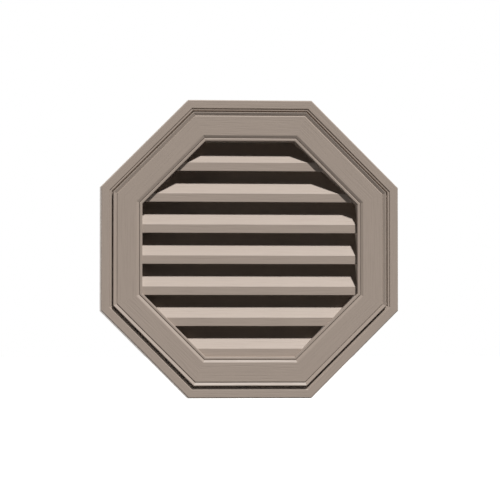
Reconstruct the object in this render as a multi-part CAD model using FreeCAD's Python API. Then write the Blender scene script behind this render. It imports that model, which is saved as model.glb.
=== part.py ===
"""Eight-sided gable vent: a louvre box with its nailing flange, a push-on trim ring and an insect screen.

Millimetres. X runs to the right, Z up, and the vent looks along -Y. The wall plane is y = 0, where the
flange rests, and the origin is the middle of the octagon in that plane. A distance in front of the wall
is called "out", so y = -out. Sizes across the octagon are given as half widths, from the middle to a flat.
"""
import FreeCAD, Part
import math
import os

SIDES = 8

# Louvre box
OPENING = 402.0            # across the flats, inside the lip
BOX_WALL = 3.0
BOX_DEPTH = 52.0           # wall plane to the front of the lip
LIP_WIDTH = 5.4
LIP_DEPTH = 3.5
LIP_INNER_ROUND = 1.6
LIP_OUTER_ROUND = 1.5

# Louvre blades
BLADE_PITCH = 57.9
BLADE_THICKNESS = 2.5
BLADE_SLOPE = 51.3         # degrees up from level
BLADE_REACH = 39.0         # nose face to the blade's rear edge
BLADE_CLEARANCE = 2.5      # blade's rear edge to the screen
NOSE_HEIGHT = 16.1
NOSE_ROUND = 1.0
ROOT_SINK = 1.0            # how far a blade end runs into the box wall

# Nailing flange
FLANGE_WIDTH = 58.0        # from the outside of the box wall
FLANGE_THICKNESS = 2.5
SCREW_HOLES = 16
SCREW_HOLE_DIAMETER = 5.0
SCREW_SETBACK = 22.0       # flange's edge to the circle of holes, on the flats

# Insect screen and its heat stakes, in a rebate on the flange's back
SCREEN_THICKNESS = 0.5
SCREEN_CELLS = 12          # openings across, a coarse grid that stands for the fine mesh
SCREEN_BAR = 5.0           # between two openings of that grid
SCREEN_BORDER = 14.2       # how far the screen lies on its ledge
SCREEN_SIDE_CLEARANCE = 0.8
REBATE_DEPTH = 2.5
STAKES_PER_SIDE = 2
STAKE_SPACING = 90.0
STAKE_WIDTH = 3.0          # across the flats of the eight-sided stem
STAKE_CLEARANCE = 0.1      # round the stake, in the screen's hole
STAKE_HEAD_WIDTH = 7.0
STAKE_HEAD_TOP = 4.4       # across the flat on the melted head
STAKE_HEAD_HEIGHT = 1.2

# Trim ring
RING_ACROSS = 558.8        # across the flats, at the back edge of the skirt
RING_WALL = 3.0
RING_SEAM = 0.4            # open joint between the lip and the ring
RING_FACE_LEAD = 1.7       # ring face in front of the lip
INNER_SLOPE_WIDTH = 5.0    # the slope from the joint up to the face
INNER_SLOPE_DEPTH = 2.2
INNER_SLOPE_ROUND = 5.0
QUIRK_WIDTH = 1.0          # the quirk's short slope down from the face, seen from the front
QUIRK_DEPTH = 1.4
BEAD_SLOPE_WIDTH = 5.4     # the long slope from the quirk up to the bead's crest
BEAD_LEAD = 1.1            # crest in front of the face
CREST_WIDTH = 0.9
CREST_ROUND = 0.4
STEP_DEPTH = 9.0           # crest down to the foot of the step
STEP_LEAN = 1.0            # how far the step's wall leans out, seen from the front
STEP_FOOT = 0.6
GROOVE_SLOPE_WIDTH = 2.0   # from the step's foot up to the fillet
GROOVE_RISE = 3.6
FILLET_WIDTH = 2.8         # the narrow flat between the groove and the band
BAND_SLOPE_WIDTH = 1.3
BAND_RISE = 1.6
BAND_FLAT_WIDTH = 15.2     # the outer band's flat, from its slope to the edge
BAND_CREST_ROUND = 0.8
BAND_ROUND = 2.0
SKIRT_DRAFT = 3.0          # degrees, wider towards the wall
SIDING_ROOM = 18.0         # wall plane to the skirt's back edge
RIB_THICKNESS = 2.0
RIBS_PER_SIDE = 2
RIB_SPACING = 100.0
RIB_DEPTH = 16.0           # below the underside of the ring's face

# Clips that hold the ring on the box
TOOTH_COUNT = 3
TOOTH_PITCH = 6.0
TOOTH_REACH = 2.2
TOOTH_HEIGHT = 4.5
TOOTH_LENGTH = 40.0
TOOTH_TIP = 0.8            # flat at the tooth's tip, and at the hook's
HOOK_LENGTH = 30.0
HOOK_HEIGHT = 6.0
HOOK_SEAT = 1.0            # back edge of the ring's leg to the hook's foot
HOOK_CLEARANCE = 0.6       # hook's tip to the box wall
MERGE = 0.5                # how far an added feature runs into its carrier

# Distances in front of the wall
ledge_front = REBATE_DEPTH + FLANGE_THICKNESS
catch_out = ledge_front + HOOK_SEAT + HOOK_HEIGHT
blade_rear = REBATE_DEPTH + BLADE_CLEARANCE
nose_out = blade_rear + BLADE_REACH
ring_face = BOX_DEPTH + RING_FACE_LEAD
crest_out = ring_face + BEAD_LEAD
step_foot_out = crest_out - STEP_DEPTH
fillet_out = step_foot_out + GROOVE_RISE
band_out = fillet_out + BAND_RISE
under_face = ring_face - RING_WALL
under_step = step_foot_out - RING_WALL
under_fillet = fillet_out - RING_WALL
under_band = band_out - RING_WALL

# Half widths of the box, from the opening outwards
opening_half = OPENING / 2
box_half = opening_half + BOX_WALL
lip_half = opening_half + LIP_WIDTH
screen_half = opening_half + SCREEN_BORDER
stake_half = opening_half + SCREEN_BORDER / 2
rebate_half = screen_half + SCREEN_SIDE_CLEARANCE
flange_half = box_half + FLANGE_WIDTH

# Half widths of the ring, from its outer edge inwards; the face takes what the mouldings leave
skirt_lean = math.tan(math.radians(SKIRT_DRAFT))
ring_outer = RING_ACROSS / 2
ring_front_outer = ring_outer - (band_out - SIDING_ROOM) * skirt_lean
band_crest = ring_front_outer - BAND_FLAT_WIDTH
band_start = band_crest - BAND_SLOPE_WIDTH
fillet_start = band_start - FILLET_WIDTH
groove_foot = fillet_start - GROOVE_SLOPE_WIDTH
step_foot = groove_foot - STEP_FOOT
step_half = step_foot - STEP_LEAN
crest_start = step_half - CREST_WIDTH
quirk_foot = crest_start - BEAD_SLOPE_WIDTH
quirk_start = quirk_foot - QUIRK_WIDTH
ring_inner = lip_half + RING_SEAM
face_start = ring_inner + INNER_SLOPE_WIDTH
inner_slope = INNER_SLOPE_DEPTH / INNER_SLOPE_WIDTH
under_edge = under_face - (INNER_SLOPE_WIDTH - RING_WALL) * inner_slope


def point(right, out, up=0.0):
    """A point by its place to the right, its distance out of the wall and its height."""
    return FreeCAD.Vector(right, -out, up)


def rounded_outline(corners):
    """A closed wire through (point, radius) corners, with an arc in each corner that has a radius."""
    count = len(corners)
    tangents = []
    edges = []
    for index, (corner, radius) in enumerate(corners):
        to_last = (corners[index - 1][0] - corner).normalize()
        to_next = (corners[(index + 1) % count][0] - corner).normalize()
        half_angle = to_last.getAngle(to_next) / 2
        setback = radius / math.tan(half_angle)
        start = corner + to_last * setback
        finish = corner + to_next * setback
        tangents.append((start, finish))
        if radius > 0:
            bisector = (to_last + to_next).normalize()
            middle = corner + bisector * (radius / math.sin(half_angle) - radius)
            edges.append(Part.Arc(start, middle, finish).toShape())
    for index in range(count):
        edges.append(Part.LineSegment(tangents[index - 1][1], tangents[index][0]).toShape())
    return Part.Wire(Part.__sortEdges__(edges))


def octagon_corners(half, out):
    """The octagon's corners, closed, with a flat to the right."""
    radius = half / math.cos(math.pi / SIDES)
    corners = []
    for index in range(SIDES + 1):
        angle = math.pi * (2 * index + 1) / SIDES
        corners.append(FreeCAD.Vector(radius * math.cos(angle), -out, radius * math.sin(angle)))
    return corners


def octagon_plate(half, out_back, out_front):
    """A solid octagon between two distances from the wall."""
    face = Part.Face(Part.makePolygon(octagon_corners(half, out_front)))
    return face.extrude(FreeCAD.Vector(0, out_front - out_back, 0))


def on_every_side(shape):
    """Copies of a shape on the right-hand flat, one for each flat."""
    copies = []
    for index in range(SIDES):
        copy = shape.copy()
        copy.rotate(FreeCAD.Vector(0, 0, 0), FreeCAD.Vector(0, 1, 0), index * 360.0 / SIDES)
        copies.append(copy)
    return copies


def run_round(corners):
    """Carry a section, drawn on the right-hand flat, round the octagon with mitred corners."""
    reach = max(corner.x for corner, radius in corners)
    depth = max(-corner.y for corner, radius in corners)
    side_end = FreeCAD.Vector(0, 0, 2 * reach)
    side = Part.Face(rounded_outline(corners)).extrude(side_end)
    side.translate(side_end * -0.5)
    half_side = 2 * reach * math.tan(math.pi / SIDES)
    sector = [point(0, depth), point(2 * reach, depth, -half_side), point(2 * reach, depth, half_side)]
    wedge = Part.Face(Part.makePolygon(sector + sector[:1])).extrude(FreeCAD.Vector(0, depth, 0))
    sides = on_every_side(side.common(wedge))
    return sides[0].fuse(sides[1:]).removeSplitter()


def bar(corners, length, along=0.0):
    """A straight bar along the right-hand flat, with a plain section of (half, out) corners."""
    points = [point(half, out, along - length / 2) for half, out in corners]
    face = Part.Face(Part.makePolygon(points + points[:1]))
    return face.extrude(FreeCAD.Vector(0, 0, length))


def row(count, spacing):
    """Places of evenly spaced things about the middle of a flat."""
    return [(index - (count - 1) / 2) * spacing for index in range(count)]


def box_frame():
    """The walls of the louvre box with the rolled lip, the screen's ledge and the flange, in one section."""
    section = [
        (point(opening_half, REBATE_DEPTH), 0),
        (point(opening_half, BOX_DEPTH), LIP_INNER_ROUND),
        (point(lip_half, BOX_DEPTH), LIP_OUTER_ROUND),
        (point(lip_half, BOX_DEPTH - LIP_DEPTH), 0),
        (point(box_half, BOX_DEPTH - LIP_DEPTH - (lip_half - box_half)), 0),
        (point(box_half, ledge_front), 0),
        (point(rebate_half + FLANGE_THICKNESS, ledge_front), 0),
        (point(rebate_half + FLANGE_THICKNESS, FLANGE_THICKNESS), 0),
        (point(flange_half, FLANGE_THICKNESS), 0),
        (point(flange_half, 0), 0),
        (point(rebate_half, 0), 0),
        (point(rebate_half, REBATE_DEPTH), 0),
    ]
    return run_round(section)


def blade(nose_foot):
    """One louvre: an upright nose and a blade that climbs to the rear, cut to the box."""
    rise = math.tan(math.radians(BLADE_SLOPE))
    upright = BLADE_THICKNESS / math.cos(math.radians(BLADE_SLOPE))
    nose_top = nose_foot + NOSE_HEIGHT
    nose_back = nose_out - BLADE_THICKNESS
    rear_top = nose_top + BLADE_REACH * rise
    corners = [
        (point(-box_half, nose_out, nose_foot), NOSE_ROUND),
        (point(-box_half, nose_out, nose_top), NOSE_ROUND),
        (point(-box_half, blade_rear, rear_top), 0),
        (point(-box_half, blade_rear, rear_top - upright), 0),
        (point(-box_half, nose_back, nose_top + BLADE_THICKNESS * rise - upright), 0),
        (point(-box_half, nose_back, nose_foot), 0),
    ]
    strip = Part.Face(rounded_outline(corners)).extrude(FreeCAD.Vector(2 * box_half, 0, 0))
    return strip.common(octagon_plate(opening_half + ROOT_SINK, blade_rear, nose_out))


def stake_stem(width, out_front, along):
    """An eight-sided stem behind the ledge, from the back of the screen to a distance in front of it."""
    stem = octagon_plate(width / 2, REBATE_DEPTH - SCREEN_THICKNESS, out_front)
    stem.translate(point(stake_half, 0, along))
    return stem


def heat_stake(along):
    """A stake with its melted head, on the ledge behind the screen."""
    stem = stake_stem(STAKE_WIDTH, REBATE_DEPTH + MERGE, along)
    seat_out = REBATE_DEPTH - SCREEN_THICKNESS
    seat = Part.makePolygon(octagon_corners(STAKE_HEAD_WIDTH / 2, seat_out))
    top = Part.makePolygon(octagon_corners(STAKE_HEAD_TOP / 2, seat_out - STAKE_HEAD_HEIGHT))
    head = Part.makeLoft([seat, top], True, True)
    head.translate(point(stake_half, 0, along))
    return stem.fuse(head)


def ratchet_tooth(catch):
    """One ratchet tooth on the box wall: flat towards the wall plane, sloping towards the front."""
    root = box_half - MERGE
    tip = box_half + TOOTH_REACH
    corners = [(root, catch), (tip, catch), (tip, catch + TOOTH_TIP), (root, catch + TOOTH_HEIGHT)]
    return bar(corners, TOOTH_LENGTH)


def screw_hole(index):
    """One of the holes round the nailing flange."""
    angle = 2 * math.pi * index / SCREW_HOLES
    centre = FreeCAD.Vector(math.cos(angle), 0, math.sin(angle)) * (flange_half - SCREW_SETBACK)
    to_front = FreeCAD.Vector(0, -1, 0)
    return Part.makeCylinder(SCREW_HOLE_DIAMETER / 2, FLANGE_THICKNESS, centre, to_front)


def louvre_body():
    """The louvre box: frame, blades, ratchet teeth and stakes in one moulding, with its screw holes."""
    features = []
    for index in range(math.ceil(OPENING / BLADE_PITCH)):
        features.append(blade(index * BLADE_PITCH - opening_half - ROOT_SINK))
    for index in range(TOOTH_COUNT):
        features += on_every_side(ratchet_tooth(catch_out + index * TOOTH_PITCH))
    for along in row(STAKES_PER_SIDE, STAKE_SPACING):
        features += on_every_side(heat_stake(along))
    holes = [screw_hole(index) for index in range(SCREW_HOLES)]
    return box_frame().fuse(features).cut(holes).removeSplitter()


def ring_frame():
    """The ring's shell: inner leg, face, quirk, bead, step, groove, outer band and skirt, in one section."""
    section = [
        (point(ring_inner, ledge_front), 0),
        (point(ring_inner, ring_face - INNER_SLOPE_DEPTH), 0),
        (point(face_start, ring_face), INNER_SLOPE_ROUND),
        (point(quirk_start, ring_face), 0),
        (point(quirk_foot, ring_face - QUIRK_DEPTH), 0),
        (point(crest_start, crest_out), CREST_ROUND),
        (point(step_half, crest_out), CREST_ROUND),
        (point(step_foot, step_foot_out), 0),
        (point(groove_foot, step_foot_out), 0),
        (point(fillet_start, fillet_out), 0),
        (point(band_start, fillet_out), 0),
        (point(band_crest, band_out), BAND_CREST_ROUND),
        (point(ring_front_outer, band_out), BAND_ROUND),
        (point(ring_outer, SIDING_ROOM), 0),
        (point(ring_outer - RING_WALL, SIDING_ROOM), 0),
        (point(ring_front_outer - RING_WALL, under_band), 0),
        (point(band_crest, under_band), 0),
        (point(band_start, under_fillet), 0),
        (point(fillet_start + RING_WALL / 2, under_fillet), 0),
        (point(groove_foot + RING_WALL / 2, under_step), 0),
        (point(step_half - RING_WALL, under_step), 0),
        (point(step_half - RING_WALL, under_face), 0),
        (point(face_start, under_face), 0),
        (point(ring_inner + RING_WALL, under_edge), 0),
        (point(ring_inner + RING_WALL, ledge_front), 0),
    ]
    return run_round(section)


def ring_rib(along):
    """A stiffening rib across the ring's channel, from the inner leg to the skirt."""
    foot = under_face - RIB_DEPTH
    leg = ring_inner + RING_WALL - MERGE
    step = step_half - RING_WALL + MERGE
    skirt = RING_WALL - MERGE
    corners = [
        (leg, foot),
        (leg, under_face + MERGE),
        (step, under_face + MERGE),
        (step, under_step + MERGE),
        (groove_foot + RING_WALL / 2, under_step + MERGE),
        (fillet_start + RING_WALL / 2, under_fillet + MERGE),
        (band_start, under_fillet + MERGE),
        (band_crest, under_band + MERGE),
        (ring_front_outer - skirt, under_band + MERGE),
        (ring_outer - (foot - SIDING_ROOM) * skirt_lean - skirt, foot),
    ]
    return bar(corners, RIB_THICKNESS, along)


def ring_hook():
    """A hook on the ring's leg, caught behind the first tooth of the box."""
    root = ring_inner + MERGE
    tip = box_half + HOOK_CLEARANCE
    foot = catch_out - HOOK_HEIGHT
    corners = [(root, catch_out), (tip, catch_out), (tip, catch_out - TOOTH_TIP), (root, foot)]
    return bar(corners, HOOK_LENGTH)


def trim_ring():
    """The push-on ring with its hooks and ribs."""
    features = on_every_side(ring_hook())
    for along in row(RIBS_PER_SIDE, RIB_SPACING):
        features += on_every_side(ring_rib(along))
    return ring_frame().fuse(features).removeSplitter()


def screen_openings():
    """Square openings over the louvre box's own opening, cut off along its slanting walls."""
    pitch = OPENING / SCREEN_CELLS
    width = pitch - SCREEN_BAR
    room = octagon_plate(opening_half, REBATE_DEPTH - SCREEN_THICKNESS, REBATE_DEPTH)
    openings = []
    for right in row(SCREEN_CELLS, pitch):
        for up in row(SCREEN_CELLS, pitch):
            if abs(right) + abs(up) < opening_half * math.sqrt(2):
                corner = point(right - width / 2, REBATE_DEPTH, up - width / 2)
                openings.append(Part.makeBox(width, SCREEN_THICKNESS, width, corner))
    return Part.makeCompound(openings).common(room).Solids


def insect_screen():
    """The mesh as a sheet on its ledge, with a grid of openings inside and a hole round each stake."""
    sheet = octagon_plate(screen_half, REBATE_DEPTH - SCREEN_THICKNESS, REBATE_DEPTH)
    holes = screen_openings()
    for along in row(STAKES_PER_SIDE, STAKE_SPACING):
        holes += on_every_side(stake_stem(STAKE_WIDTH + 2 * STAKE_CLEARANCE, REBATE_DEPTH, along))
    return sheet.cut(holes)


def single_solid(shape):
    """The one solid of a finished piece."""
    if len(shape.Solids) != 1 or not shape.isValid():
        raise ValueError("a piece isn't one valid solid")
    return shape.Solids[0]


os.makedirs("parts", exist_ok=True)
for name, piece in (
    ("louvre_body", louvre_body()),
    ("trim_ring", trim_ring()),
    ("insect_screen", insect_screen()),
):
    solid = single_solid(piece)
    solid.exportStep(f"parts/{name}.step")
    print(name, round(solid.Volume / 1000, 1), "cm3", solid.BoundBox)
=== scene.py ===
"""Looks of an eight-sided gable vent: clay plastic with a moulded wood grain, and a fine wire screen behind.

Every length is in metres. X runs to the right and Z up. The vent looks along -Y, and the wall is at y = 0.
"""
import math
from typing import NamedTuple

import bmesh
import bpy
from mathutils import Euler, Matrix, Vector


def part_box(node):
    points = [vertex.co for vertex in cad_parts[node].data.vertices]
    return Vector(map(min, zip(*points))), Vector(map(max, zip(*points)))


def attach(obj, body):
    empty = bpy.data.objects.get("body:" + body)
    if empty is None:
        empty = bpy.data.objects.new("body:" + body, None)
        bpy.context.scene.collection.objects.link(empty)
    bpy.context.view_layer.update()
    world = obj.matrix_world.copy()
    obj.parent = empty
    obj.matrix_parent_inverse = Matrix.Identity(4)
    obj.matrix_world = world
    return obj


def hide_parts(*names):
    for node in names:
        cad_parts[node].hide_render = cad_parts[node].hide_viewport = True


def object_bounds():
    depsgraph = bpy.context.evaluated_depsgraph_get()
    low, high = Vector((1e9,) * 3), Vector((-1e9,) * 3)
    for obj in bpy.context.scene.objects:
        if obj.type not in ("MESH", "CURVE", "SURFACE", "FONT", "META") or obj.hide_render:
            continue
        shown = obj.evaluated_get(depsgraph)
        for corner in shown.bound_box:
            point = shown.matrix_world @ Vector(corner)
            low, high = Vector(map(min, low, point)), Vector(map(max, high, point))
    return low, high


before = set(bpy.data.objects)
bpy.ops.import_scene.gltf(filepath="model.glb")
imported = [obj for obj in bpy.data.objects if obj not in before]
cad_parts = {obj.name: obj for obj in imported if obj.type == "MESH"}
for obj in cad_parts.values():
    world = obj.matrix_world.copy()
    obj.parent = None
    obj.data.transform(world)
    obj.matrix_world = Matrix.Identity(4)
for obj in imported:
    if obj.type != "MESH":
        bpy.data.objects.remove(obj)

bl_info = {
    "name": "Gable Vent",
    "version": (1, 0, 0),
    "blender": (4, 5, 0),
    "location": "3D View > Sidebar > Gable Vent",
    "description": "Dresses an eight-sided louvred gable vent in moulded plastic and wire mesh",
    "category": "Object",
}

CAD_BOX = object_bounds()
SCREEN_LOW, SCREEN_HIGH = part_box("insect_screen")

# Octagon: the turn from one flat to the next, and the half width within which a face belongs to a blade
SIDES = 8
SIDE_TURN = 2 * math.pi / SIDES
BLADES_WITHIN = 0.2008

# Tolerances: points that merge, folds that count as flat, points on a cut, and turns that count as a mitre
MERGE_WITHIN = 2e-6
FLAT_WITHIN = math.radians(0.5)
CUT_WITHIN = 5e-6
MITRE_WITHIN = 1e-4

# Edges: a crease starts at a smaller fold on a long edge than between the short facets of holes and stakes
LONG_EDGE = 0.008
LONG_CREASE = math.radians(38)
SHORT_CREASE = math.radians(44)
ROUNDED_FROM = math.radians(50)
ROUND_SEGMENTS = 2


class GrainLayer(NamedTuple):
    """One layer of the wood grain; its length, width and depth multiply those of the plastic's settings."""

    length: float
    width: float
    detail: float
    roughness: float
    depth: float


# Wood grain: its map and layers, the ridges made from the lines' noise, and the map's rise across a blade
GRAIN_MAP = "grain"
GRAIN_LINES = GrainLayer(length=1, width=1, detail=3, roughness=0.6, depth=0.7)
GRAIN_BANDS = GrainLayer(length=3, width=5, detail=2, roughness=0.5, depth=0.5)
GRAIN_PORES = GrainLayer(length=1 / 4, width=1 / 3, detail=1, roughness=0.5, depth=0.25)
RIDGE_STOPS = ((0.34, 0.0), (0.52, 0.85), (0.7, 1.0))
BLADE_LEAN = 0.5

# Plastic: patches a metre, tones that multiply its colour, and roughness more in grooves and less on ridges
MOTTLE_SCALE = 14
MOTTLE_DETAIL = 3
MOTTLE_TONE = 0.07
RIDGE_TONE = 0.07
DARKEST_TONE = 0.91
GROOVE_ROUGHER = 0.08
RIDGE_SMOOTHER = 0.02

# Wires: faces round each one, and the coating's patches a metre and ranges of tone and roughness
WIRE_FACETS = 6
COATING_SCALE = 60
COATING_DETAIL = 2
COATING_TONES = (0.75, 1.25)
COATING_ROUGHNESS = (0.4, 0.6)

# Floor: its drop below the vent, its half width, and its colour where it is seen and where it only lights
FLOOR_DROP = 0.32
FLOOR_HALF_WIDTH = 40
FLOOR_SEEN = (0.95, 0.95, 0.95, 1)
FLOOR_LIGHTING = (0.08, 0.08, 0.08, 1)
WHITE = (1, 1, 1, 1)


class PlasticSettings(bpy.types.PropertyGroup):
    """Finish of the two mouldings."""

    colour: bpy.props.FloatVectorProperty(
        name="Colour",
        description="Colour of the plastic, the same all through",
        subtype="COLOR",
        default=(0.284, 0.231, 0.193),
        min=0.0,
        max=1.0,
    )
    roughness: bpy.props.FloatProperty(
        name="Roughness",
        description="Roughness of the satin surface between the grain lines",
        subtype="FACTOR",
        default=0.45,
        min=0.0,
        max=1.0,
    )
    gloss: bpy.props.FloatProperty(
        name="Gloss",
        description="How strongly the plastic mirrors what lies around it",
        subtype="FACTOR",
        default=0.35,
        min=0.0,
        max=1.0,
    )
    grain_depth: bpy.props.FloatProperty(
        name="Grain depth",
        description="Depth of the wood grain moulded into the surface",
        subtype="DISTANCE",
        unit="LENGTH",
        default=0.00016,
        min=0.0,
        max=0.001,
    )
    grain_width: bpy.props.FloatProperty(
        name="Grain width",
        description="Typical distance from one grain line to the next",
        subtype="DISTANCE",
        unit="LENGTH",
        default=0.0026,
        min=0.0005,
        max=0.02,
    )
    grain_length: bpy.props.FloatProperty(
        name="Grain length",
        description="Typical length of a grain line",
        subtype="DISTANCE",
        unit="LENGTH",
        default=0.07,
        min=0.005,
        max=0.5,
    )
    edge_round: bpy.props.FloatProperty(
        name="Edge round",
        description="Width of the small round that the mould leaves on each long sharp edge",
        subtype="DISTANCE",
        unit="LENGTH",
        default=0.0004,
        min=0.0,
        max=0.002,
    )


class ScreenSettings(bpy.types.PropertyGroup):
    """Wire mesh behind the louvres."""

    pitch: bpy.props.FloatProperty(
        name="Wire pitch",
        description="Distance from one wire to the next",
        subtype="DISTANCE",
        unit="LENGTH",
        default=0.0014,
        min=0.0005,
        max=0.01,
    )
    wire: bpy.props.FloatProperty(
        name="Wire thickness",
        description="Diameter of a coated wire; two layers lie in the thickness of the screen",
        subtype="DISTANCE",
        unit="LENGTH",
        default=(SCREEN_HIGH.y - SCREEN_LOW.y) / 2,
        min=0.0001,
        max=0.002,
    )
    colour: bpy.props.FloatVectorProperty(
        name="Colour",
        description="Colour of the wire's coating",
        subtype="COLOR",
        default=(0.032, 0.032, 0.034),
        min=0.0,
        max=1.0,
    )


class StageSettings(bpy.types.PropertyGroup):
    """Light, floor and camera."""

    to_sun: bpy.props.FloatVectorProperty(
        name="Towards the sun",
        description="Direction from the vent to the main light",
        subtype="XYZ",
        default=(0.48, -1.0, 1.58),
    )
    sun_strength: bpy.props.FloatProperty(
        name="Sun strength",
        description="Strength of the main light",
        default=5.8,
        min=0.0,
        max=10.0,
    )
    sun_angle: bpy.props.FloatProperty(
        name="Sun angle",
        description="Apparent width of the main light, which softens its shadows",
        subtype="ANGLE",
        unit="ROTATION",
        default=math.radians(4),
    )
    to_fill: bpy.props.FloatVectorProperty(
        name="Towards the fill light",
        description="Direction from the vent to the soft light behind it",
        subtype="XYZ",
        default=(-1.7, 1.0, 0.5),
    )
    fill_strength: bpy.props.FloatProperty(
        name="Fill strength",
        description="Strength of the soft light behind the vent",
        default=2.3,
        min=0.0,
        max=10.0,
    )
    fill_angle: bpy.props.FloatProperty(
        name="Fill angle",
        description="Apparent width of the soft light behind the vent",
        subtype="ANGLE",
        unit="ROTATION",
        default=math.radians(30),
    )
    ambient: bpy.props.FloatProperty(
        name="Ambient",
        description="Strength of the even light from all round",
        default=0.01,
        min=0.0,
        max=1.0,
    )
    ambient_colour: bpy.props.FloatVectorProperty(
        name="Ambient colour",
        description="Colour of the even light from all round",
        subtype="COLOR",
        default=(1.0, 0.66, 0.40),
        min=0.0,
        max=1.0,
    )
    floor_level: bpy.props.FloatProperty(
        name="Floor level",
        description="Height of the floor; the vent hangs above it",
        subtype="DISTANCE",
        unit="LENGTH",
        default=CAD_BOX[0][2] - FLOOR_DROP,
    )
    camera_place: bpy.props.FloatVectorProperty(
        name="Camera place",
        description="Where the camera stands",
        subtype="XYZ",
        unit="LENGTH",
        default=(-0.3949, -4.89, -0.1552),
    )
    camera_yaw: bpy.props.FloatProperty(
        name="Camera yaw",
        description="How far the camera turns to the right of straight ahead",
        subtype="ANGLE",
        unit="ROTATION",
        default=math.radians(4.661),
    )
    camera_pitch: bpy.props.FloatProperty(
        name="Camera pitch",
        description="How far the camera looks up",
        subtype="ANGLE",
        unit="ROTATION",
        default=math.radians(1.806),
    )
    camera_lens: bpy.props.FloatProperty(
        name="Camera lens",
        description="Focal length in millimetres on a sensor 36 mm wide",
        subtype="DISTANCE_CAMERA",
        unit="CAMERA",
        default=187.6,
        min=10.0,
        max=500.0,
    )


def link_nodes(tree, *pairs):
    """Join outputs to inputs in a node tree."""
    for output, socket in pairs:
        tree.links.new(output, socket)


def math_node(tree, operation, *values):
    """A math node on values that are each a number or an output, and its result."""
    node = tree.nodes.new("ShaderNodeMath")
    node.operation = operation
    for socket, value in zip(node.inputs, values):
        if isinstance(value, bpy.types.NodeSocket):
            tree.links.new(value, socket)
        else:
            socket.default_value = value
    return node.outputs[0]


def between(tree, value, low, high):
    """A value from 0 to 1, stretched to run from low to high."""
    return math_node(tree, "ADD", math_node(tree, "MULTIPLY", value, high - low), low)


def ramp(tree, value, stops):
    """A colour ramp through (position, grey level) stops."""
    node = tree.nodes.new("ShaderNodeValToRGB")
    elements = node.color_ramp.elements
    while len(elements) < len(stops):
        elements.new(1)
    for element, (position, grey) in zip(elements, stops):
        element.position = position
        element.color = (grey, grey, grey, 1)
    tree.links.new(value, node.inputs["Fac"])
    return node.outputs["Color"]


def patchy_noise(tree, scale, detail):
    """Noise that is alike in all directions through the piece."""
    place = tree.nodes.new("ShaderNodeTexCoord").outputs["Object"]
    noise = tree.nodes.new("ShaderNodeTexNoise")
    noise.inputs["Scale"].default_value = scale
    noise.inputs["Detail"].default_value = detail
    tree.links.new(place, noise.inputs["Vector"])
    return noise.outputs["Fac"]


def grain_noise(tree, grain_map, settings, layer):
    """Noise drawn out along the grain, at the size of one layer."""
    along = settings.grain_length * layer.length
    across = settings.grain_width * layer.width
    mapping = tree.nodes.new("ShaderNodeMapping")
    mapping.inputs["Scale"].default_value = (1 / along, 1 / across, 1)
    noise = tree.nodes.new("ShaderNodeTexNoise")
    noise.inputs["Scale"].default_value = 1
    noise.inputs["Detail"].default_value = layer.detail
    noise.inputs["Roughness"].default_value = layer.roughness
    link_nodes(
        tree,
        (grain_map, mapping.inputs["Vector"]),
        (mapping.outputs["Vector"], noise.inputs["Vector"]),
    )
    return noise.outputs["Fac"]


def tinted(tree, colour, tone):
    """A colour multiplied by a tone that varies around 1."""
    shade = tree.nodes.new("ShaderNodeMix")
    shade.data_type = "RGBA"
    shade.blend_type = "MULTIPLY"
    shade.inputs["Factor"].default_value = 1
    shade.inputs["A"].default_value = (*colour, 1)
    tree.links.new(tone, shade.inputs["B"])
    return shade.outputs["Result"]


def new_material(name):
    """A material with its node tree and its shader."""
    material = bpy.data.materials.new(name)
    material.use_nodes = True
    tree = material.node_tree
    return material, tree, tree.nodes["Principled BSDF"]


def clay_plastic(name, settings):
    """Satin plastic with a fine wood grain moulded along the piece's grain map."""
    material, tree, shader = new_material(name)
    shader.inputs["Specular IOR Level"].default_value = settings.gloss
    uv_map = tree.nodes.new("ShaderNodeUVMap")
    uv_map.uv_map = GRAIN_MAP
    grain_map = uv_map.outputs["UV"]

    ridges = ramp(tree, grain_noise(tree, grain_map, settings, GRAIN_LINES), RIDGE_STOPS)
    height = math_node(tree, "MULTIPLY", ridges, GRAIN_LINES.depth)
    for layer in (GRAIN_BANDS, GRAIN_PORES):
        noise = grain_noise(tree, grain_map, settings, layer)
        height = math_node(tree, "ADD", height, math_node(tree, "MULTIPLY", noise, layer.depth))
    bump = tree.nodes.new("ShaderNodeBump")
    bump.inputs["Strength"].default_value = 1
    bump.inputs["Distance"].default_value = settings.grain_depth

    mottle = patchy_noise(tree, MOTTLE_SCALE, MOTTLE_DETAIL)
    tone = math_node(tree, "MULTIPLY", mottle, MOTTLE_TONE)
    tone = math_node(tree, "ADD", tone, math_node(tree, "MULTIPLY", ridges, RIDGE_TONE))
    tone = math_node(tree, "ADD", tone, DARKEST_TONE)
    in_groove = settings.roughness + GROOVE_ROUGHER
    on_ridge = settings.roughness - RIDGE_SMOOTHER
    link_nodes(
        tree,
        (height, bump.inputs["Height"]),
        (bump.outputs["Normal"], shader.inputs["Normal"]),
        (tinted(tree, settings.colour, tone), shader.inputs["Base Color"]),
        (between(tree, ridges, in_groove, on_ridge), shader.inputs["Roughness"]),
    )
    return material


def coated_wire(name, settings):
    """Charcoal coating on fine wire, a little uneven."""
    material, tree, shader = new_material(name)
    uneven = patchy_noise(tree, COATING_SCALE, COATING_DETAIL)
    tone = between(tree, uneven, *COATING_TONES)
    link_nodes(
        tree,
        (tinted(tree, settings.colour, tone), shader.inputs["Base Color"]),
        (between(tree, uneven, *COATING_ROUGHNESS), shader.inputs["Roughness"]),
    )
    return material


def add_object(name, data):
    """A new object in the scene."""
    thing = bpy.data.objects.new(name, data)
    bpy.context.scene.collection.objects.link(thing)
    return thing


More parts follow.
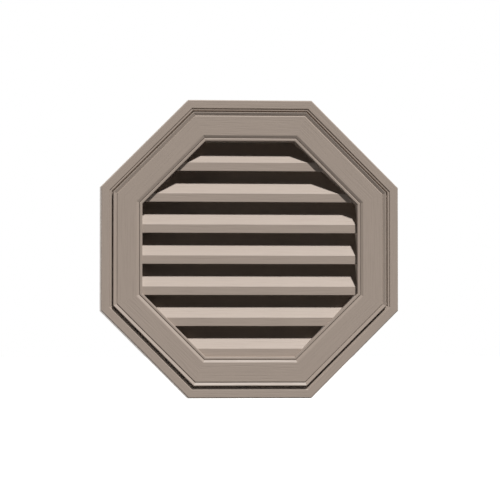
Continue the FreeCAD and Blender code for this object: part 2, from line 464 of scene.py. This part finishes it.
def finish_mesh(piece):
    """Turn a piece's modifiers into its plain mesh."""
    graph = bpy.context.evaluated_depsgraph_get()
    mesh = bpy.data.meshes.new_from_object(piece.evaluated_get(graph), depsgraph=graph)
    if not mesh.polygons:
        raise RuntimeError(piece.name + " has no faces")
    piece.modifiers.clear()
    piece.data = mesh
    mesh.name = piece.name


def settle(piece, node):
    """Let a finished piece stand for its CAD node."""
    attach(piece, "root")
    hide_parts(node)


def turn_of(place):
    """How far round the octagon a place lies, counted in flats from the right towards the top."""
    return math.atan2(place.z, place.x) / SIDE_TURN


def side_of(place):
    """Which flat of the octagon a place lies behind."""
    return round(turn_of(place)) % SIDES


def side_axes(side):
    """A flat's direction outwards and its direction along."""
    angle = side * SIDE_TURN
    outward = Vector((math.cos(angle), 0, math.sin(angle)))
    along = Vector((-math.sin(angle), 0, math.cos(angle)))
    return outward, along


def on_mitre(edge):
    """Whether an edge runs along a mitre, where two flats of the octagon meet."""
    first, last = (vertex.co for vertex in edge.verts)
    for place in (first, (first + last) / 2, last):
        turn = turn_of(place)
        if abs(turn - math.floor(turn) - 0.5) > MITRE_WITHIN:
            return False
    return True


def clean_shell(node):
    """A CAD node's faces, merged into flats and cut along the mitres."""
    shell = bmesh.new()
    shell.from_mesh(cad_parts[node].data)
    bmesh.ops.remove_doubles(shell, verts=shell.verts, dist=MERGE_WITHIN)
    bmesh.ops.dissolve_limit(
        shell,
        angle_limit=FLAT_WITHIN,
        verts=shell.verts,
        edges=shell.edges,
        use_dissolve_boundaries=False,
    )
    # Each plane through the axis cuts two opposite mitres
    for side in range(SIDES // 2):
        across = side_axes(side + 0.5)[1]
        geometry = [*shell.verts, *shell.edges, *shell.faces]
        bmesh.ops.bisect_plane(shell, geom=geometry, dist=CUT_WITHIN, plane_co=(0, 0, 0), plane_no=across)
    shell.normal_update()
    return shell


def mark_edges(shell):
    """Shade all but creases and mitres smooth, and give long sharp outer edges a round."""
    for face in shell.faces:
        face.smooth = True
    weights = shell.edges.layers.float.new("bevel_weight_edge")
    for edge in shell.edges:
        fold = edge.calc_face_angle_signed()
        is_long = edge.calc_length() > LONG_EDGE
        crease = LONG_CREASE if is_long else SHORT_CREASE
        edge[weights] = is_long and fold > ROUNDED_FROM
        edge.smooth = abs(fold) < crease and not on_mitre(edge)


def lay_grain(mesh, blades_within):
    """Lay the grain map: along each flat on the frame, and level on blades within the half width."""
    layer = mesh.uv_layers.new(name=GRAIN_MAP)
    for face in mesh.polygons:
        side = side_of(face.center)
        outward, along = side_axes(side)
        on_blade = outward.dot(face.center) < blades_within
        for corner in face.loop_indices:
            place = mesh.vertices[mesh.loops[corner].vertex_index].co
            if on_blade:
                layer.data[corner].uv = (place.x, place.z + place.y * BLADE_LEAN)
            else:
                # Each side starts a metre further along the grain, so that no two are alike
                layer.data[corner].uv = (along.dot(place) + side, outward.dot(place) + place.y)


def moulded_piece(node, settings, blades_within=0.0):
    """A dressed copy of a CAD moulding, with rounded edges and a grain map."""
    shell = clean_shell(node)
    mark_edges(shell)
    mesh = bpy.data.meshes.new(node + "_shell")
    shell.to_mesh(mesh)
    shell.free()
    piece = add_object(node + "_moulding", mesh)
    bevel = piece.modifiers.new("edge_round", "BEVEL")
    bevel.width = settings.edge_round
    bevel.segments = ROUND_SEGMENTS
    bevel.limit_method = "WEIGHT"
    bevel.use_clamp_overlap = False
    weighted = piece.modifiers.new("flat_faces", "WEIGHTED_NORMAL")
    weighted.keep_sharp = True
    finish_mesh(piece)
    lay_grain(piece.data, blades_within)
    return piece


class VENT_OT_louvre_body(bpy.types.Operator):
    """Dress the louvre box with its fixed blades and nailing flange"""

    bl_idname = "vent.louvre_body"
    bl_label = "Louvre Body"

    def execute(self, context):
        settings = context.scene.vent_plastic
        piece = moulded_piece("louvre_body", settings, BLADES_WITHIN)
        piece.data.materials.append(clay_plastic("louvre_plastic", settings))
        settle(piece, "louvre_body")
        return {"FINISHED"}


class VENT_OT_trim_ring(bpy.types.Operator):
    """Dress the trim ring that is pushed over the louvre box"""

    bl_idname = "vent.trim_ring"
    bl_label = "Trim Ring"

    def execute(self, context):
        settings = context.scene.vent_plastic
        piece = moulded_piece("trim_ring", settings)
        piece.data.materials.append(clay_plastic("ring_plastic", settings))
        settle(piece, "trim_ring")
        return {"FINISHED"}


def wire_layer(tree, given):
    """Upright wires side by side, each as long as the octagon is high at its place."""
    nodes = tree.nodes
    per_half = math_node(tree, "DIVIDE", given["Half Width"], given["Pitch"])
    per_half = math_node(tree, "FLOOR", per_half)
    count = math_node(tree, "ADD", math_node(tree, "MULTIPLY", per_half, 2), 1)
    reach = math_node(tree, "MULTIPLY", per_half, given["Pitch"])
    start = nodes.new("ShaderNodeCombineXYZ")
    step = nodes.new("ShaderNodeCombineXYZ")
    line = nodes.new("GeometryNodeMeshLine")
    line.mode = "OFFSET"

    # On the slanted sides, |x| + |z| is the half width times the root of two
    place = nodes.new("GeometryNodeInputPosition")
    parts = nodes.new("ShaderNodeSeparateXYZ")
    slanted = math_node(tree, "MULTIPLY", given["Half Width"], math.sqrt(2))
    slanted = math_node(tree, "SUBTRACT", slanted, math_node(tree, "ABSOLUTE", parts.outputs["X"]))
    half_length = math_node(tree, "MINIMUM", given["Half Width"], slanted)
    scale = nodes.new("ShaderNodeCombineXYZ")
    scale.inputs["X"].default_value = 1
    scale.inputs["Y"].default_value = 1

    wire = nodes.new("GeometryNodeMeshCylinder")
    wire.inputs["Vertices"].default_value = WIRE_FACETS
    wire.inputs["Depth"].default_value = 1
    spread = nodes.new("GeometryNodeInstanceOnPoints")
    link_nodes(
        tree,
        (math_node(tree, "MULTIPLY", reach, -1), start.inputs["X"]),
        (given["Pitch"], step.inputs["X"]),
        (count, line.inputs["Count"]),
        (start.outputs["Vector"], line.inputs["Start Location"]),
        (step.outputs["Vector"], line.inputs["Offset"]),
        (place.outputs["Position"], parts.inputs["Vector"]),
        (math_node(tree, "MULTIPLY", half_length, 2), scale.inputs["Z"]),
        (math_node(tree, "DIVIDE", given["Wire"], 2), wire.inputs["Radius"]),
        (line.outputs["Mesh"], spread.inputs["Points"]),
        (wire.outputs["Mesh"], spread.inputs["Instance"]),
        (scale.outputs["Vector"], spread.inputs["Scale"]),
    )
    return spread.outputs["Instances"]


def wire_tree(material):
    """Nodes that lay a layer of upright wires behind a layer of level ones, over an octagon."""
    tree = bpy.data.node_groups.new("wire_screen", "GeometryNodeTree")
    tree.is_modifier = True
    tree.interface.new_socket("Geometry", in_out="OUTPUT", socket_type="NodeSocketGeometry")
    for name in ("Half Width", "Pitch", "Wire", "Middle"):
        tree.interface.new_socket(name, in_out="INPUT", socket_type="NodeSocketFloat")
    nodes = tree.nodes
    given = nodes.new("NodeGroupInput").outputs
    result = nodes.new("NodeGroupOutput")

    wires = wire_layer(tree, given)
    both = nodes.new("GeometryNodeJoinGeometry")
    for turn, wires_back in ((0, 0.5), (math.pi / 2, -0.5)):
        shift = math_node(tree, "MULTIPLY", given["Wire"], wires_back)
        offset = nodes.new("ShaderNodeCombineXYZ")
        layer = nodes.new("GeometryNodeTransform")
        layer.inputs["Rotation"].default_value = (0, turn, 0)
        link_nodes(
            tree,
            (math_node(tree, "ADD", given["Middle"], shift), offset.inputs["Y"]),
            (offset.outputs["Vector"], layer.inputs["Translation"]),
            (wires, layer.inputs["Geometry"]),
            (layer.outputs["Geometry"], both.inputs["Geometry"]),
        )
    realize = nodes.new("GeometryNodeRealizeInstances")
    paint = nodes.new("GeometryNodeSetMaterial")
    paint.inputs["Material"].default_value = material
    link_nodes(
        tree,
        (both.outputs["Geometry"], realize.inputs["Geometry"]),
        (realize.outputs["Geometry"], paint.inputs["Geometry"]),
        (paint.outputs["Geometry"], result.inputs["Geometry"]),
    )
    return tree


class VENT_OT_insect_screen(bpy.types.Operator):
    """Lay the wire mesh of the insect screen"""

    bl_idname = "vent.insect_screen"
    bl_label = "Insect Screen"

    def execute(self, context):
        settings = context.scene.vent_screen
        tree = wire_tree(coated_wire("screen_coating", settings))
        piece = add_object("insect_screen_mesh", bpy.data.meshes.new("wires"))
        modifier = piece.modifiers.new("wires", "NODES")
        modifier.node_group = tree
        values = {
            "Half Width": SCREEN_HIGH.x,
            "Pitch": settings.pitch,
            "Wire": settings.wire,
            "Middle": (SCREEN_LOW.y + SCREEN_HIGH.y) / 2,
        }
        for socket in tree.interface.items_tree:
            if socket.in_out == "INPUT":
                modifier[socket.identifier] = values[socket.name]
        finish_mesh(piece)
        settle(piece, "insect_screen")
        return {"FINISHED"}


def add_sun(name, towards, strength, angle):
    """A sun lamp that shines from a direction."""
    lamp = bpy.data.lights.new(name, "SUN")
    lamp.energy = strength
    lamp.angle = angle
    sun = add_object(name, lamp)
    sun.rotation_euler = Vector(towards).to_track_quat("Z", "Y").to_euler()


def choose_by_ray(tree, lighting, seen, surface):
    """Set one shader for rays that only light, and one for rays that are seen, in gloss and glass too."""
    rays = tree.nodes.new("ShaderNodeLightPath").outputs
    is_seen = math_node(tree, "MAXIMUM", rays["Is Camera Ray"], rays["Is Glossy Ray"])
    is_seen = math_node(tree, "MAXIMUM", is_seen, rays["Is Transmission Ray"])
    choose = tree.nodes.new("ShaderNodeMixShader")
    link_nodes(
        tree,
        (is_seen, choose.inputs["Fac"]),
        (lighting, choose.inputs[1]),
        (seen, choose.inputs[2]),
        (choose.outputs["Shader"], surface),
    )


def white_surround(strength, colour):
    """A world that looks white and lights the vent evenly and gently."""
    world = bpy.data.worlds.new("surround")
    world.use_nodes = True
    tree = world.node_tree
    backdrop = tree.nodes["Background"]
    backdrop.inputs["Color"].default_value = WHITE
    even = tree.nodes.new("ShaderNodeBackground")
    even.inputs["Color"].default_value = (*colour, 1)
    even.inputs["Strength"].default_value = strength
    surface = tree.nodes["World Output"].inputs["Surface"]
    choose_by_ray(tree, even.outputs["Background"], backdrop.outputs["Background"], surface)
    bpy.context.scene.world = world


def floor_paint():
    """A floor that looks white where the sun reaches it, and throws little light back at the vent."""
    material, tree, shader = new_material("floor_paint")
    tree.nodes.remove(shader)
    white = tree.nodes.new("ShaderNodeBsdfDiffuse")
    white.inputs["Color"].default_value = FLOOR_SEEN
    dull = tree.nodes.new("ShaderNodeBsdfDiffuse")
    dull.inputs["Color"].default_value = FLOOR_LIGHTING
    surface = tree.nodes["Material Output"].inputs["Surface"]
    choose_by_ray(tree, dull.outputs["BSDF"], white.outputs["BSDF"], surface)
    return material


def lay_floor(level):
    """A wide plain floor below the vent."""
    outline = bmesh.new()
    bmesh.ops.create_grid(outline, x_segments=1, y_segments=1, size=FLOOR_HALF_WIDTH)
    mesh = bpy.data.meshes.new("floor")
    outline.to_mesh(mesh)
    outline.free()
    mesh.materials.append(floor_paint())
    floor = add_object("floor", mesh)
    floor.location.z = level


class VENT_OT_stage(bpy.types.Operator):
    """Set up the floor, the light and the camera"""

    bl_idname = "vent.stage"
    bl_label = "Stage"

    def execute(self, context):
        settings = context.scene.vent_stage
        lay_floor(settings.floor_level)
        add_sun("sun", settings.to_sun, settings.sun_strength, settings.sun_angle)
        add_sun("fill", settings.to_fill, settings.fill_strength, settings.fill_angle)
        white_surround(settings.ambient, settings.ambient_colour)

        lens = bpy.data.cameras.new("camera")
        lens.lens = settings.camera_lens
        camera = add_object("camera", lens)
        camera.location = settings.camera_place
        camera.rotation_euler = Euler((math.pi / 2 + settings.camera_pitch, 0, -settings.camera_yaw))
        context.scene.camera = camera
        context.scene.view_settings.view_transform = "Standard"
        return {"FINISHED"}


class VENT_PT_sidebar(bpy.types.Panel):
    """Pieces and finishes of the vent"""

    bl_idname = "VENT_PT_sidebar"
    bl_label = "Gable Vent"
    bl_space_type = "VIEW_3D"
    bl_region_type = "UI"
    bl_category = "Gable Vent"

    def draw(self, context):
        for operator in OPERATORS:
            self.layout.operator(operator.bl_idname)
        for group in SETTINGS:
            values = getattr(context.scene, group)
            box = self.layout.box()
            for name in values.__annotations__:
                box.prop(values, name)


SETTINGS = {
    "vent_plastic": PlasticSettings,
    "vent_screen": ScreenSettings,
    "vent_stage": StageSettings,
}
OPERATORS = (VENT_OT_louvre_body, VENT_OT_trim_ring, VENT_OT_insect_screen, VENT_OT_stage)
CLASSES = (*SETTINGS.values(), *OPERATORS, VENT_PT_sidebar)


def register():
    """Register the classes, and give the scene its settings."""
    for cls in CLASSES:
        bpy.utils.register_class(cls)
    for name, group in SETTINGS.items():
        setattr(bpy.types.Scene, name, bpy.props.PointerProperty(type=group))


def unregister():
    """Take the settings and the classes away again."""
    for name in SETTINGS:
        delattr(bpy.types.Scene, name)
    for cls in reversed(CLASSES):
        bpy.utils.unregister_class(cls)


def main():
    """Dress the pieces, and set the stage."""
    register()
    bpy.ops.vent.louvre_body()
    bpy.ops.vent.trim_ring()
    bpy.ops.vent.insect_screen()
    bpy.ops.vent.stage()


if __name__ == "__main__":
    main()
